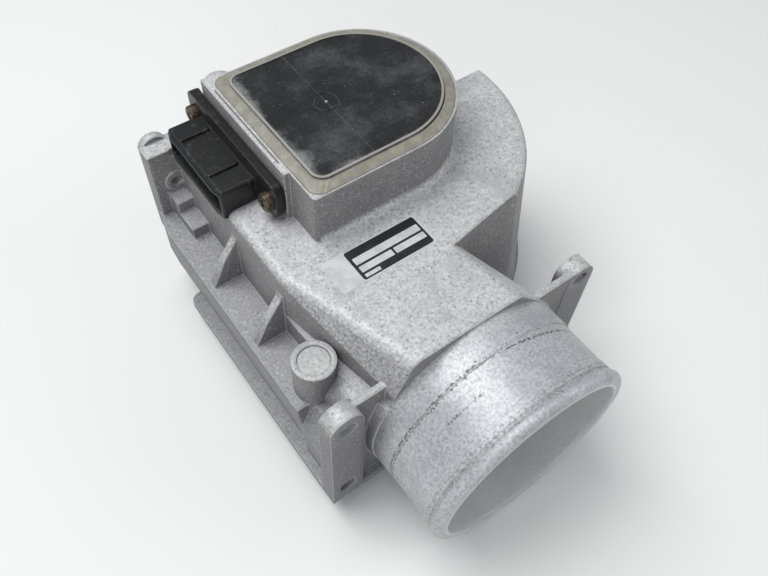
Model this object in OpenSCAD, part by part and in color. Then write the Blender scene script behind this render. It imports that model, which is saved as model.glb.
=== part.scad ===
// Vane type mass airflow sensor: a die-cast housing with outlet pipe, damping chamber and electronics
// tower, a sprung measuring vane on one shaft, a black plastic cover and a plug connector.
// Millimetres. Origin at the centre of the outlet pipe's end face, +Y toward the inlet flange,
// +X toward the damping chamber, +Z up through the electronics cover.

/* [Outlet pipe] */
// Bore of the outlet pipe
bore_d = 70; // [67:0.5:71]
// Wall of the outlet pipe
pipe_wall = 3.35; // [2.8:0.05:3.8]
// Height of the hose bead above the plain pipe
bead_h = 1.15; // [0.9:0.05:2]
// Length of the pipe from its end face to the body
pipe_length = 34.4; // [31:0.2:42]

/* [Duct] */
// Length of the body from the pipe to the inlet face
body_length = 126; // [124.6:0.2:131]
// Distance of the duct's left inner wall from the pipe axis
duct_left = 38; // [37.6:0.1:39]
// Distance of the duct's right inner wall from the pipe axis
duct_right = 13; // [12.6:0.1:13.6]
// Height of the duct roof above the pipe axis
roof_z = 36; // [35.6:0.1:36.4]
// Thickness of the duct roof
roof_t = 3.5; // [3:0.1:4]
// Depth of the duct floor below the pipe axis
floor_z = 25.4; // [25:0.1:26]
// Thickness of the cast side walls
wall = 3; // [2.6:0.1:3.4]

/* [Damping chamber] */
// Distance of the vane shaft from the pipe axis
shaft_x = 16.4; // [16.2:0.1:16.8]
// Distance of the vane shaft from the inlet face
shaft_back = 40.6; // [40.2:0.1:41.4]
// Radius of the damping chamber about the shaft
chamber_r = 56.5; // [56.2:0.1:57.5]
// Angle of the casting's draft on the chamber walls
draft = 6; // [4:0.5:7]

/* [Electronics tower] */
// Half width of the tower, which is the radius of its round end
tower_r = 32.4; // [32.2:0.1:34]
// Height of the tower above the duct top
tower_h = 20.5; // [20.2:0.1:24]
// Distance of the tower's left wall from the pipe axis
tower_left = 23.8; // [23.7:0.1:24.4]
// Radius of the cove at the tower's foot
foot_r = 3; // [1:0.2:4]
// Height of the cover above the tower rim
cover_h = 2; // [1.6:0.1:3]

/* [Vane] */
// Length of the measuring plate from the shaft axis, which sweeps its own way clear
vane_length = 60.2; // [58:0.1:60.4]
// Gap between the damping plate's tip and the chamber wall
damper_gap = 0.8; // [0.6:0.1:3]
// Thickness of both plates
plate_t = 2.4; // [2:0.1:2.8]
// Diameter of the vane shaft
shaft_d = 6; // [5:0.1:6.2]
// Angle of the measuring plate at rest
rest_angle = 207; // [206:0.5:208]
// Angle between the measuring plate and the damping plate
plate_angle = 93; // [92:0.5:94]

/* [Connector] */
// Distance between the two connector screws
con_pitch = 48.6; // [48:0.1:49]
// Height of the connector screws above the pipe axis
con_z = 46.5; // [46:0.1:47]
// Length of the connector hood from its flange
hood_l = 13.6; // [11:0.1:18]
// Depth of the connector below its screws, sunk in a pocket of the duct roof
con_d = 8.2; // [7.9:0.1:8.6]
// Pitch of the terminals
pin_pitch = 4; // [3.4:0.1:4.2]

/* [Bracket lugs] */
// Distance of the lug holes from the pipe axis
lug_x = 48.2; // [48:0.1:49]
// Diameter of the lug holes
lug_hole_d = 6.6; // [5.5:0.1:7]
// Thickness of the lugs
lug_t = 6.5; // [5.5:0.1:8]

/* [Hidden] */
$fn = 64;
by = pipe_length;
iy = by + body_length;
pipe_od = bore_d + 2 * pipe_wall;
bead_od = pipe_od + 2 * bead_h;
px = shaft_x;
py = iy - shaft_back;
dl = -duct_left;
dr = duct_right;
top_z = roof_z + roof_t;
bot_z = -floor_z - 3;
rim_z = -floor_z - 6.2;
rim_h = 15;
tw_z = top_z + tower_h;
tl = -tower_left;
cov_z = tw_z + cover_h;
pad_x = tl - 2;
gask_x = pad_x - 0.5;
flg_x = gask_x - 3.1;
con_y = py + 10.5;
term_y = con_y + 1.5;
pin_z = con_z - 3.9;
lid_in = 4.2;
lid_cx = px - 0.8;
lid_half = tower_r - lid_in;
seat_z = tw_z - 3;
comp_in = 5;
comp_x = tl + comp_in;
in_r = tower_r - comp_in;
post_1 = [-6, 4.6 - in_r];
post_2 = [-4, in_r - 4.2];
sens_y = py + in_r - 4.5;
brd_z = top_z + 11.1;
brd_t = 1;
hub_z = brd_z + brd_t + 1.9;
slope = tan(draft);
front_in = chamber_r - 3.26;
front_a = 9.6;
bush_r = shaft_d / 2 + 2.5;
run_fit = 0.03;
cover_t = 2.8;
label_w = 36.6;
label_d = 13.5;
label_t = 0.2;
gasket_t = 0.4;
plate_z = -floor_z;
damper_length = chamber_r - damper_gap;
base_z = bot_z - gasket_t;
hub_hole = 7.6;
cup_z = plate_z - 12;
boss_x = -44.2;
boss_y = by + 24.7;
boss_z = 26;
ledge_z = 10;
chan_z = -1;
hole_x1 = -43.3;
hole_x2 = 21;
hole_z1 = 25;
hole_z2 = -19;
lug_z1 = 22.4;
lug_z2 = -22;
arm_a = rest_angle - 53;
stop_a = arm_a + 180;
edge_a = 30.3;
edge_y = py - 27.8;
bump_x = px + chamber_r - 11.8;
seam = 4.5;
screw_pts = [[dl - seam, py - 25.8], [dl - seam, py + 2.2], [dl - 4.2, iy - 10.2], [dr + 4.2, iy - 10.2],
             [px + 30, py + seam + 0.2], [px + chamber_r + 4.2, py + seam + 0.2],
             [px + (chamber_r + seam) * cos(22), py - (chamber_r + seam) * sin(22)],
             [px + 26, py + front_y(26, seam)], [px + 4, py + front_y(4, seam)]];

// Helpers: extrusions and cylinders along the axes
module along_y(y0, y1) {
    translate([0, y1, 0]) rotate([90, 0, 0]) linear_extrude(y1 - y0) children();
}
module along_x(x0, x1) {
    translate([x0, 0, 0]) rotate([90, 0, 90]) linear_extrude(x1 - x0) children();
}
module up(z0, z1) {
    translate([0, 0, z0]) linear_extrude(z1 - z0) children();
}
module box(a, b) {
    translate(a) cube([b[0] - a[0], b[1] - a[1], b[2] - a[2]]);
}
module rod_y(x, z, r, y0, y1) {
    translate([x, y0, z]) rotate([-90, 0, 0]) cylinder(r = r, h = y1 - y0);
}
module rod_x(y, z, r, x0, x1) {
    translate([x0, y, z]) rotate([0, 90, 0]) cylinder(r = r, h = x1 - x0);
}
module rod_z(x, y, r, z0, z1) {
    translate([x, y, z0]) cylinder(r = r, h = z1 - z0);
}
module at_shaft(a = 0) {
    translate([px, py, 0]) rotate([0, 0, a]) children();
}

// Outline of the tower and its cover: straight left side with corner radius rc, round right end
module d_shape(x0, half, cx, rc) {
    translate([x0 + rc, py - half]) square([cx - x0 - rc, 2 * half]);
    translate([x0, py - half + rc]) square([cx - x0, 2 * (half - rc)]);
    for (s = [-1, 1]) translate([x0 + rc, py + s * (half - rc)]) circle(r = rc);
    translate([cx, py]) circle(r = half);
}
// The same outline with walls leaning in by d over its height
module d_frustum(x0, half, cx, rc, z0, z1, d) {
    along_y(py - half + rc, py + half - rc)
        polygon([[x0, z0], [cx, z0], [cx, z1], [x0 + d, z1]]);
    translate([0, py, 0]) along_x(x0 + rc, cx)
        polygon([[-half, z0], [half, z0], [half - d, z1], [d - half, z1]]);
    for (s = [-1, 1]) translate([x0 + rc, py + s * (half - rc), z0])
        cylinder(r1 = rc, r2 = rc - d, h = z1 - z0);
    translate([cx, py, z0]) cylinder(r1 = half, r2 = half - d, h = z1 - z0);
}
// Plan of the damping chamber, o outside its inner walls; its slanted front wall is front_in from the shaft
function front_y(x, o) = (x * sin(front_a) - front_in - o) / cos(front_a);
module chamber_sector(o, x0, d) {
    translate([px, py]) polygon([[x0, 0.2 + o], [x0, front_y(x0, o + d)], [95, front_y(95, o + d)],
                                 [95, 0.2 + o + d]]);
}
// Plan of the opening that the bottom cover closes, o outside it: the duct floor with a slanted front
// edge, the chamber and the shaft's recess
function edge_x(o) = (edge_y - py - dl * tan(-edge_a) + px * tan(front_a) - o / cos(edge_a)
                      + (front_in + o) / cos(front_a)) / (tan(front_a) + tan(edge_a));
module bottom_plan(o = 0) {
    x1 = edge_x(o);
    intersection() {
        polygon([[dl - o, edge_y + o * (tan(edge_a) - 1 / cos(edge_a))], [x1, py + front_y(x1 - px, o)],
                 [95, py + front_y(95 - px, o)], [95, py + 0.2 + o], [dr + o, py + 0.2 + o],
                 [dr + o, iy - 14.4 + o], [dl - o, iy - 14.4 + o]]);
        union() {
            translate([px, py]) circle(r = chamber_r + o, $fn = 128);
            translate([dl - o - 5, py - 75]) square([dr - dl + o, 150]);
        }
    }
    translate([px, py]) circle(r = hub_hole + o);
}

// Outlet pipe with hose bead, groove and stop shoulder, turned about the pipe axis
module pipe_solid() {
    r = pipe_od / 2;
    b = 2.5;
    rotate([-90, 0, 0]) rotate_extrude($fn = 128) {
        translate([0, 1]) square([r, by + 4]);
        translate([bead_od / 2 - b, b]) circle(r = b);
        square([bead_od / 2 - b, 2 * b]);
        translate([0, 5.5]) square([r + 0.3, 3]);
        translate([0, by - 9.9]) square([r + 0.3, 12]);
    }
}
// Die-cast skin from the round pipe to the rectangular duct
module front_skin() {
    r = pipe_od / 2 + 0.6;
    difference() {
        hull() {
            rod_y(0, 0, r, by, by + 2, $fn = 96);
            rod_y(-21.5, top_z - 5.5, 5.5, by, by + 2, $fn = 32);
            rod_y(14.5, top_z - 5, 5, by, by + 2, $fn = 32);
            rod_y(dl - wall + 3, top_z - 3, 3, by + 48.5, by + 48.6, $fn = 32);
            box([dl - wall, by + 48.5, bot_z], [dl, by + 48.6, top_z - 3]);
            rod_y(dr - 3.6, top_z - 2.4, 2.4, by + 35.5, by + 35.6, $fn = 32);
            box([dr - 6, by + 35.5, bot_z], [dr - 1.2, by + 35.6, top_z - 2.4]);
        }
        up(20, top_z + 1) polygon([[-70, by - 1], [dl + 6.7, by - 1], [dl - wall, by + 48.6], [-70, by + 48.6]]);
    }
}
module duct_solid() {
    up(bot_z, top_z) polygon([[dl - wall + 3, by + 48.5], [dr - 4, by + 35.6], [dr + wall, by + 35.6],
                              [dr + wall, iy - 1], [dl - wall + 3, iy - 1]]);
    along_y(by + 48.5, iy - 1) {
        translate([dl - wall, bot_z]) square([10, top_z - 3 - bot_z]);
        translate([dl - wall + 3, top_z - 3]) circle(r = 3);
    }
}
// Damping chamber: a cone about the shaft, cut by a drafted front wall and a rear wall
module chamber_solid() {
    r = chamber_r + wall;
    h = top_z - bot_z;
    intersection() {
        at_shaft() rotate_extrude($fn = 128) {
            polygon([[0, bot_z], [r + h * slope, bot_z], [r + 2 * slope, top_z - 2], [r - 2, top_z - 2],
                     [r - 2, top_z], [0, top_z]]);
            translate([r - 2, top_z - 2]) circle(r = 2);
        }
        hull() {
            up(bot_z, bot_z + 0.01) chamber_sector(wall, -8, h * slope);
            up(top_z - 0.01, top_z) chamber_sector(wall, -8, 0);
        }
    }
    rod_z(px, py, 10.6, bot_z, top_z);
}
module tower_solid() {
    up(roof_z, tw_z) d_shape(tl, tower_r, px, 1.5);
    box([pad_x, py - 18.5, roof_z], [tl + 1, py + 33.9, tw_z]);
    rod_z(tl + 3.2, py + 30, 5.2, roof_z, tw_z);
    rod_x(con_y + con_pitch / 2, con_z, 5.2, pad_x, pad_x + 12);
    tower_foot(foot_r);
}
// Cove between the tower's walls and the duct roof
module tower_foot(r) {
    arc = concat([[-1, -1], [r, -1]], [for (t = [0:15:90]) [r - r * sin(t), r - r * cos(t)]], [[-1, r]]);
    translate([px, py, top_z]) rotate_extrude($fn = 128) translate([tower_r, 0]) polygon(arc);
    for (s = [0, 1]) translate([0, py, top_z]) mirror([0, s, 0]) translate([0, tower_r, 0])
        along_x(tl + 1.5, px) polygon(arc);
}
// Bypass side of the casting: ledge, leaning wall, gussets, steps and screw boss
module bypass_side() {
    difference() {
        along_y(by + 20, iy - 3)
            polygon([[dl - wall + 1, ledge_z], [-54.3, ledge_z], [-54.3, ledge_z - 4], [-49.6, bot_z],
                     [dl - wall + 1, bot_z]]);
        up(bot_z - 1, ledge_z + 1) polygon([[-60, iy - 18.4], [-54.3, iy - 18.4], [-51.2, iy - 3],
                                            [-49, iy], [-60, iy]]);
    }
    along_y(by + 6, by + 21)
        polygon([[-30, ledge_z], [-48, ledge_z - 1], [-53.6, ledge_z - 14], [-51.4, bot_z], [-30, bot_z]]);
    for (y = [by + 47.5, by + 76.4]) along_y(y, y + 3)
        polygon([[dl - wall + 2, 36], [dl - wall - 0.8, 28.6], [-47.2, 20.7], [-53, ledge_z - 1],
                 [dl - wall + 2, ledge_z - 1]]);
    box([-47.5, iy - 26, ledge_z - 1], [dl - 1, iy - 4, ledge_z + 5]);
    box([-47.5, iy - 16.4, ledge_z - 1], [dl - 1, iy - 4, ledge_z + 10]);
    rod_z(boss_x, boss_y, 7.2, chan_z - 9, boss_z);
    rod_y(-37, 11.5, 8, by + 5, boss_y - 1);
}
module lugs() {
    for (s = [-1, 1]) {
        along_y(by + 0.6, by + 0.6 + lug_t) {
            translate([s * lug_x - 6.2, rim_z]) square([12.4, 23.6 - rim_z - (s > 0 ? 1.5 : 0)]);
            translate([s * lug_x, 23.6 - (s > 0 ? 1.5 : 0)]) circle(r = 6.2);
        }
    }
    box([-lug_x + 3, by + 3.8, rim_z], [-22, by + 6.2, 27.6]);
    box([22, by + 0.8, rim_z], [lug_x - 3, by + 3.2, 27.8]);
}
module inlet_flange() {
    along_y(iy - 3.2, iy) {
        polygon([[-47, rim_z], [26.7, rim_z], [26.7, 38], [-51, 38], [-51, 0]]);
        for (x = [-45.9, 21.6]) translate([x, 36.4]) circle(r = 5.1);
    }
    along_y(iy - 9.6, iy - 3)
        polygon([[-46.5, rim_z], [dl - 1, rim_z], [dl - 1, top_z], [-51.7, top_z], [-51.7, 0]]);
    box([dr + 1, iy - 9.6, rim_z], [26.7, iy - 3, top_z]);
    for (x = [hole_x1, hole_x2]) rod_y(x, hole_z1, 4.4, iy - 10.2, iy - 9);
}
module bottom_rim() {
    up(rim_z, rim_z + rim_h) bottom_plan(10);
    up(rim_z, rim_z + 3) {
        translate([-lug_x - 6.2, by + 0.6]) square([lug_x - 13.8, 14]);
        translate([20, by + 0.6]) square([lug_x - 13.8, lug_t]);
        translate([-54.5, by + 7]) square([30, py + 15.8 - by - 7]);
        translate([-50.5, by + 7]) square([26, py + 19.8 - by - 7]);
        translate([-50.5, py + 15.8]) circle(r = 4);
    }
}
module funnel_void() {
    difference() {
        hull() {
            rod_y(0, 0, bore_d / 2 - 0.15, by, by + 1, $fn = 96);
            box([dl, by + 48.6, -floor_z], [dl + 1, by + 48.7, roof_z]);
            box([dr - 5, by + 35.6, -floor_z], [dr - 4, by + 35.7, roof_z]);
        }
        up(bot_z - 12, plate_z) bottom_plan(10);
        up(17, roof_z + 1) polygon([[-70, by - 1], [dl + 7.2, by - 1], [dl, by + 48.7], [-70, by + 48.7]]);
    }
}
module duct_void() {
    up(-floor_z, roof_z) {
        translate([dl, by + 48.6]) square([dr - dl, body_length]);
        intersection() {
            translate([px, py]) circle(r = vane_length + 0.6, $fn = 128);
            translate([dl, by + 12]) square([dr - 4 - dl, 90]);
        }
        polygon([[dl, by + 48.6], [dr - 4, by + 35.6], [dr, by + 48], [dr, by + 60], [dl, by + 60]]);
        intersection() {
            translate([px, py]) circle(r = chamber_r, $fn = 128);
            chamber_sector(0, -7.4, 0);
        }
        translate([px, py]) circle(r = hub_hole);
    }
}
module bypass_void() {
    rod_y(-46, chan_z, 4, boss_y, py + 17);
    rod_x(py + 13, chan_z, 4, -46, dl + 1);
    rod_x(boss_y, chan_z, 3.2, boss_x, -30);
    rod_z(boss_x, boss_y, 4.05, chan_z - 5, boss_z - 5);
    rod_z(boss_x, boss_y, 5.4, boss_z - 5.5, boss_z + 1);
}
module cast_voids() {
    rod_y(0, 0, bore_d / 2, -1, by + 1, $fn = 128);
    funnel_void();
    duct_void();
    bypass_void();
    up(rim_z - 1, bot_z) bottom_plan(8.1);
    up(bot_z - 1, plate_z + 0.1) bottom_plan(0);
    up(top_z, seat_z + 1) d_shape(comp_x, tower_r - comp_in, px, 3);
    up(seat_z, tw_z + 1) d_shape(tl + 2.2, tower_r - 2.2, px, 2);
    box([dl - wall - 1, con_y - 15.9, con_z - con_d], [flg_x + 0.1, con_y + 20.8, top_z + 1]);
    box([flg_x - hood_l - 0.3, iy - 12, con_z - con_d - 2], [dl - wall, con_y + 21, top_z + 1]);
    box([flg_x, con_y - 18.5, con_z - con_d], [pad_x, con_y + 23.3, top_z + 1]);
}
// Bosses on the compartment floor: bearing, board pillars, stop post
module floor_bosses() {
    rod_z(px, py, 8.5, top_z - 1, top_z + 4.5);
    rod_z(px, py, 10.5, top_z - 1, top_z + 2);
    for (p = [post_1, post_2]) rod_z(p[0], py + p[1], 4, top_z - 1, brd_z);
    at_shaft(stop_a - 12.5) rod_z(in_r - 3.4, 0, 1.6, top_z - 1, hub_z + 2);
}
module drilled_holes() {
    for (p = screw_pts) rod_z(p[0], p[1], 2, bot_z - 1, bot_z + 7);
    rod_z(px, py, bush_r, roof_z - 1, top_z + 5);
    box([pad_x - 1, term_y - 13.2, con_z - 6.1], [comp_x + 1, term_y + 13.2, con_z - 0.1]);
    for (s = [-1, 1]) rod_x(con_y + s * con_pitch / 2, con_z, 2, pad_x - 1, pad_x + 8);
    for (s = [-1, 1]) {
        rod_y(s * lug_x, lug_z1, lug_hole_d / 2, by, by + lug_t + 3);
        rod_y(s * lug_x, lug_z2, lug_hole_d / 2, by, by + lug_t + 3);
    }
    for (x = [hole_x1, hole_x2]) for (z = [hole_z1, hole_z2]) rod_y(x, z, 2.1, iy - 16, iy + 1);
    rod_z(6, sens_y, 4, roof_z - 1, top_z + 1);
    rod_y(bump_x, 5, 2, py, py + 3);
    for (p = [post_1, post_2]) rod_z(p[0], py + p[1], 1.5, brd_z - 8, brd_z + 1);
}
module housing() {
    color([0.72, 0.72, 0.72]) difference() {
        union() {
            difference() {
                union() {
                    pipe_solid();
                    front_skin();
                    duct_solid();
                    chamber_solid();
                    tower_solid();
                    bypass_side();
                    lugs();
                    inlet_flange();
                    bottom_rim();
                }
                cast_voids();
            }
            floor_bosses();
        }
        drilled_holes();
    }
}

// Bottom cover with the cup that carries the lower bearing, its gasket and screws
module bottom_cover() {
    color([0.68, 0.68, 0.7]) difference() {
        union() {
            up(base_z - cover_t, base_z) bottom_plan(8);
            up(base_z - 1, plate_z) bottom_plan(-0.3);
            rod_z(px, py, bush_r + 3, cup_z, base_z - 1);
        }
        rod_z(px, py, bush_r, cup_z + 2, plate_z + 1);
        for (p = screw_pts) rod_z(p[0], p[1], 2.2, base_z - cover_t - 1, base_z + 1);
    }
}
module cover_gasket() {
    color([0.35, 0.33, 0.3]) difference() {
        up(base_z, bot_z) difference() {
            bottom_plan(8);
            bottom_plan(0);
        }
        for (p = screw_pts) rod_z(p[0], p[1], 2.2, base_z - 1, bot_z + 1);
    }
}
module pan_screw(r, l, rh, h) {
    rotate_extrude($fn = 48) {
        square([r, l]);
        translate([0, -h]) square([rh - 0.8, h]);
        translate([0, 0.8 - h]) square([rh, h - 0.8]);
        translate([rh - 0.8, 0.8 - h]) circle(r = 0.8);
    }
}
module cross_recess(w, d) {
    for (a = [0, 90]) rotate([0, 0, a]) translate([-w / 2, -w / 8, -d]) cube([w, w / 4, d + 1]);
}
module cover_screws() {
    z = base_z - cover_t;
    color([0.55, 0.55, 0.55]) for (p = screw_pts) translate([p[0], p[1], z]) difference() {
        pan_screw(1.95, 9, 3.3, 2.3);
        translate([0, 0, -2.3]) rotate([180, 0, 0]) cross_recess(3.6, 1.2);
    }
}

// Black cover of the electronics compartment with its sealant
module electronics_cover() {
    color([0.09, 0.09, 0.1]) difference() {
        union() {
            up(seat_z, seat_z + 1.5) d_shape(tl + 2.4, tower_r - 2.4, px, 1.9);
            up(seat_z, cov_z - 0.4) d_shape(tl + lid_in, lid_half, lid_cx, 4.5);
            up(cov_z - 0.5, cov_z) difference() {
                d_shape(tl + lid_in, lid_half, lid_cx, 4.5);
                d_shape(tl + lid_in + 0.9, lid_half - 0.9, lid_cx, 3.6);
            }
            rod_z(2.2, py, 0.5, cov_z - 1, cov_z - 0.1);
        }
        up(seat_z - 1, cov_z - 2.4) d_shape(tl + lid_in + 2, lid_half - 2, lid_cx, 2.5);
        up(cov_z - 0.7, cov_z - 0.3) translate([2.2, py]) difference() {
            circle(r = 4.4);
            circle(r = 4);
        }
    }
}
module cover_sealant() {
    color([0.66, 0.65, 0.55]) difference() {
        union() {
            up(seat_z + 1.5, tw_z + 0.1) d_shape(tl + 2.2, tower_r - 2.2, px, 2);
            d_frustum(tl + 1, tower_r - 1, lid_cx, 4.6, tw_z, tw_z + 1.2, 2.4);
        }
        up(seat_z, cov_z + 1) d_shape(tl + lid_in, lid_half, lid_cx, 4.5);
    }
}
module label_plate() {
    color([0.12, 0.12, 0.12]) translate([tl - 4.1, py - front_in - 0.36, top_z]) cube([label_w, label_d, label_t]);
}

// Plug connector: flange, hood open to -X, spigot through the tower wall
module flange_outline(g = 0) {
    y0 = con_y - con_pitch / 2;
    y1 = con_y + con_pitch / 2;
    translate([y0 - 1.5, con_z + 1]) square([con_pitch + 3, 7 - g]);
    translate([y0 - 4.5, con_z]) square([con_pitch + 9, 4]);
    for (y = [y0 - 1.5 + g / 2, y1 + 1.5 - g / 2]) translate([y, con_z + 5]) circle(r = 3);
    for (y = [y0, y1]) translate([y, con_z - 2]) circle(r = 4.5 - g);
    for (y = [y0, y1]) translate([y - 4.5 + g, con_z - 2]) square([9 - 2 * g, 5]);
    translate([con_y - 18.5 + g, con_z - con_d + g]) square([41.8 - 2 * g, con_d + 3]);
}
module connector_housing() {
    x0 = flg_x - hood_l;
    color([0.06, 0.06, 0.07]) difference() {
        union() {
            along_x(flg_x, gask_x) flange_outline();
            along_y(con_y - 15.9, con_y + 20.8)
                polygon([[flg_x + 1, con_z - con_d], [dl - wall - 0.2, con_z - con_d],
                         [dl - wall - 0.5, con_z - con_d - 1.9], [x0 + 1, con_z - con_d - 1.9],
                         [x0, con_z - con_d - 0.9], [x0, con_z + 2.5], [flg_x + 1, con_z + 2.5]]);
            for (y = [con_y - 6.6, con_y + 12.5])
                box([x0 + 1.2, y - 0.8, con_z + 2], [flg_x - 1.6, y + 0.8, con_z + 3.6]);
            box([gask_x - 1, term_y - 13.1, con_z - 6], [comp_x + 1.6, term_y + 13.1, con_z - 0.2]);
        }
        box([x0 - 1, con_y - 14.3, con_z - con_d + 1.6], [flg_x, con_y + 19.2, con_z + 0.9]);
        for (s = [-1, 1]) rod_x(con_y + s * con_pitch / 2, con_z, 2.2, flg_x - 1, gask_x + 1);
        for (i = [-3:3]) box([flg_x - 1, term_y + i * pin_pitch - 1.15, pin_z - 0.45],
                             [comp_x + 2, term_y + i * pin_pitch + 1.15, pin_z + 0.45]);
    }
}
module connector_gasket() {
    color([0.16, 0.15, 0.15]) difference() {
        along_x(gask_x, pad_x) flange_outline(0.4);
        for (s = [-1, 1]) rod_x(con_y + s * con_pitch / 2, con_z, 2.2, gask_x - 1, pad_x + 1);
        box([gask_x - 1, term_y - 13.2, con_z - 6.1], [pad_x + 1, term_y + 13.2, con_z - 0.1]);
    }
}
module connector_screws() {
    color([0.42, 0.34, 0.27]) for (s = [-1, 1])
        translate([flg_x, con_y + s * con_pitch / 2, con_z]) rotate([0, 90, 0]) difference() {
            pan_screw(1.95, 10, 3.4, 2.6);
            translate([0, 0, -2.6]) rotate([180, 0, 0]) cross_recess(3.8, 1.3);
        }
}
module connector_terminals() {
    color([0.75, 0.7, 0.5]) for (i = [-3:3]) {
        y = term_y + i * pin_pitch;
        box([flg_x - hood_l + 3, y - 1.1, pin_z - 0.4], [comp_x + 5.6, y + 1.1, pin_z + 0.4]);
        box([comp_x + 4.8, y - 1.1, pin_z - 0.4], [comp_x + 5.6, y + 1.1, brd_z + brd_t + 0.8]);
    }
}

// Resistor board on two pillars, with slots for the terminals
module resistor_board() {
    color([0.85, 0.83, 0.78]) difference() {
        up(brd_z, brd_z + brd_t) difference() {
            translate([comp_x + 1.8, py - in_r + 1.1]) square([18, 2 * in_r - 2.2]);
            translate([px, py]) circle(r = in_r - 8.4);
        }
        for (i = [-3:3]) box([comp_x + 4.6, term_y + i * pin_pitch - 1.3, brd_z - 1],
                             [comp_x + 5.8, term_y + i * pin_pitch + 1.3, brd_z + 3]);
        for (p = [post_1, post_2]) rod_z(p[0], py + p[1], 1.7, brd_z - 1, brd_z + 3);
    }
}
module board_screws() {
    color([0.6, 0.6, 0.6]) for (p = [post_1, post_2])
        translate([p[0], py + p[1], brd_z + brd_t]) rotate([180, 0, 0]) difference() {
            pan_screw(1.45, 8, 2.6, 1.8);
            translate([0, 0, -1.8]) rotate([180, 0, 0]) cross_recess(2.8, 0.9);
        }
}

// Measuring vane: hub, measuring plate and damping plate in one casting, with ribs
module vane() {
    z0 = plate_z + 0.6;
    z1 = roof_z - 0.6;
    a2 = rest_angle + plate_angle;
    color([0.78, 0.78, 0.8]) difference() {
        union() {
            rod_z(px, py, 7, z0, z1);
            at_shaft(rest_angle) box([4.5, -plate_t / 2, z0 + 0.1], [vane_length, plate_t / 2, z1 - 0.1]);
            at_shaft(a2) box([4.5, -plate_t / 2, z0 + 0.1], [damper_length, plate_t / 2, z1 - 0.1]);
            for (z = [z0 + 10, z1 - 13]) {
                at_shaft(rest_angle) box([5, 0.3, z], [vane_length - 8, plate_t / 2 + 2.5, z + 2.5]);
                at_shaft() up(z + 0.25, z + 2.25) polygon([for (p = [[4.8, rest_angle], [22, rest_angle],
                    [22, a2], [4.8, a2]]) [p[0] * cos(p[1]), p[0] * sin(p[1])]]);
            }
        }
        rod_z(px, py, shaft_d / 2, z0 - 1, z1 + 1);
    }
}
module vane_shaft() {
    color([0.6, 0.62, 0.64]) rod_z(px, py, shaft_d / 2, cup_z + 3, tw_z - 4);
}
module thrust_washers() {
    color([0.8, 0.75, 0.6]) for (z = [plate_z + 0.1, roof_z - 0.6]) up(z, z + 0.5) translate([px, py])
        difference() {
            circle(r = 6);
            circle(r = shaft_d / 2 + 0.05);
        }
}
module upper_bearing() {
    color([0.62, 0.5, 0.32]) up(roof_z, top_z + 4.5) translate([px, py]) difference() {
        circle(r = bush_r);
        circle(r = shaft_d / 2 + run_fit);
    }
}
module lower_bearing() {
    color([0.62, 0.5, 0.32]) up(cup_z + 2, plate_z) translate([px, py]) difference() {
        circle(r = bush_r);
        circle(r = shaft_d / 2 + run_fit);
    }
}

// Spring wheel: toothed wheel with a cup that anchors the spiral spring
module spring_wheel() {
    n = 60;
    z = top_z + 2;
    color([0.85, 0.82, 0.7]) difference() {
        union() {
            up(z, z + 2) translate([px, py]) polygon([for (i = [0:2 * n - 1])
                let (a = i * 180 / n, r = in_r - (i % 2 == 0 ? 7.1 : 8.4)) [r * cos(a), r * sin(a)]]);
            rod_z(px, py, in_r - 11.4, z + 1, z + 7.6);
        }
        rod_z(px, py, 8.55, z - 1, z + 3);
        rod_z(px, py, in_r - 12.8, z + 2, z + 8);
    }
}
module wheel_lock_clip() {
    z = top_z;
    r = in_r - 6.8;
    color([0.6, 0.62, 0.64]) at_shaft(45) {
        box([r, -4, z], [r + 5.4, 4, z + 0.8]);
        box([r, -4, z], [r + 0.8, 4, z + 3.8]);
        box([r - 1, -0.35, z + 2.4], [r + 0.8, 0.35, z + 3.6]);
    }
}
// Flat spiral spring between the hub and the wheel's cup
module return_spring() {
    n = 168;
    turns = 3.5;
    r0 = 6.15;
    r1 = in_r - 12.95;
    t = 0.45;
    color([0.5, 0.52, 0.55]) up(top_z + 4.8, top_z + 8.4) translate([px, py])
        polygon(concat([for (i = [0:n]) let (a = i * 360 * turns / n, r = r0 + (r1 - r0 - t) * i / n)
                        [r * cos(a), r * sin(a)]],
                       [for (j = [0:n]) let (i = n - j, a = i * 360 * turns / n,
                        r = r0 + t + (r1 - r0 - t) * i / n) [r * cos(a), r * sin(a)]]));
}
module wiper_hub() {
    color([0.14, 0.14, 0.15]) difference() {
        union() {
            rod_z(px, py, 6.1, top_z + 4.6, hub_z);
            rod_z(px, py, 7.5, hub_z - 3, hub_z);
        }
        rod_z(px, py, shaft_d / 2, top_z, tw_z);
    }
}
module wiper_arm() {
    r = in_r - 1.6;
    color([0.72, 0.66, 0.42]) difference() {
        at_shaft(arm_a) up(hub_z, hub_z + 0.8)
            polygon([[-r, -2], [8.8 - r, -2], [9.8 - r, -4], [-6, -5], [8, -5], [r - 1.8, -2.2], [r - 0.3, -2.2],
                     [r - 0.3, 2.2], [r - 1.8, 2.2], [8, 5], [-6, 5], [9.8 - r, 4], [8.8 - r, 2], [-r, 2]]);
        rod_z(px, py, shaft_d / 2, hub_z - 1, hub_z + 2);
    }
}
module wiper_contact() {
    r = in_r - 0.2;
    color([0.85, 0.7, 0.35]) at_shaft(arm_a) for (y = [-1.3, 1.3]) {
        box([r - 6.2, y - 0.5, hub_z - 0.25], [r, y + 0.5, hub_z]);
        box([r - 0.5, y - 0.5, brd_z + brd_t + 0.1], [r, y + 0.5, hub_z]);
    }
}
module counterweight() {
    color([0.55, 0.5, 0.42]) at_shaft(stop_a) box([8.5, -3.8, hub_z + 0.8], [15.8, 3.8, hub_z + 3]);
}
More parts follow.
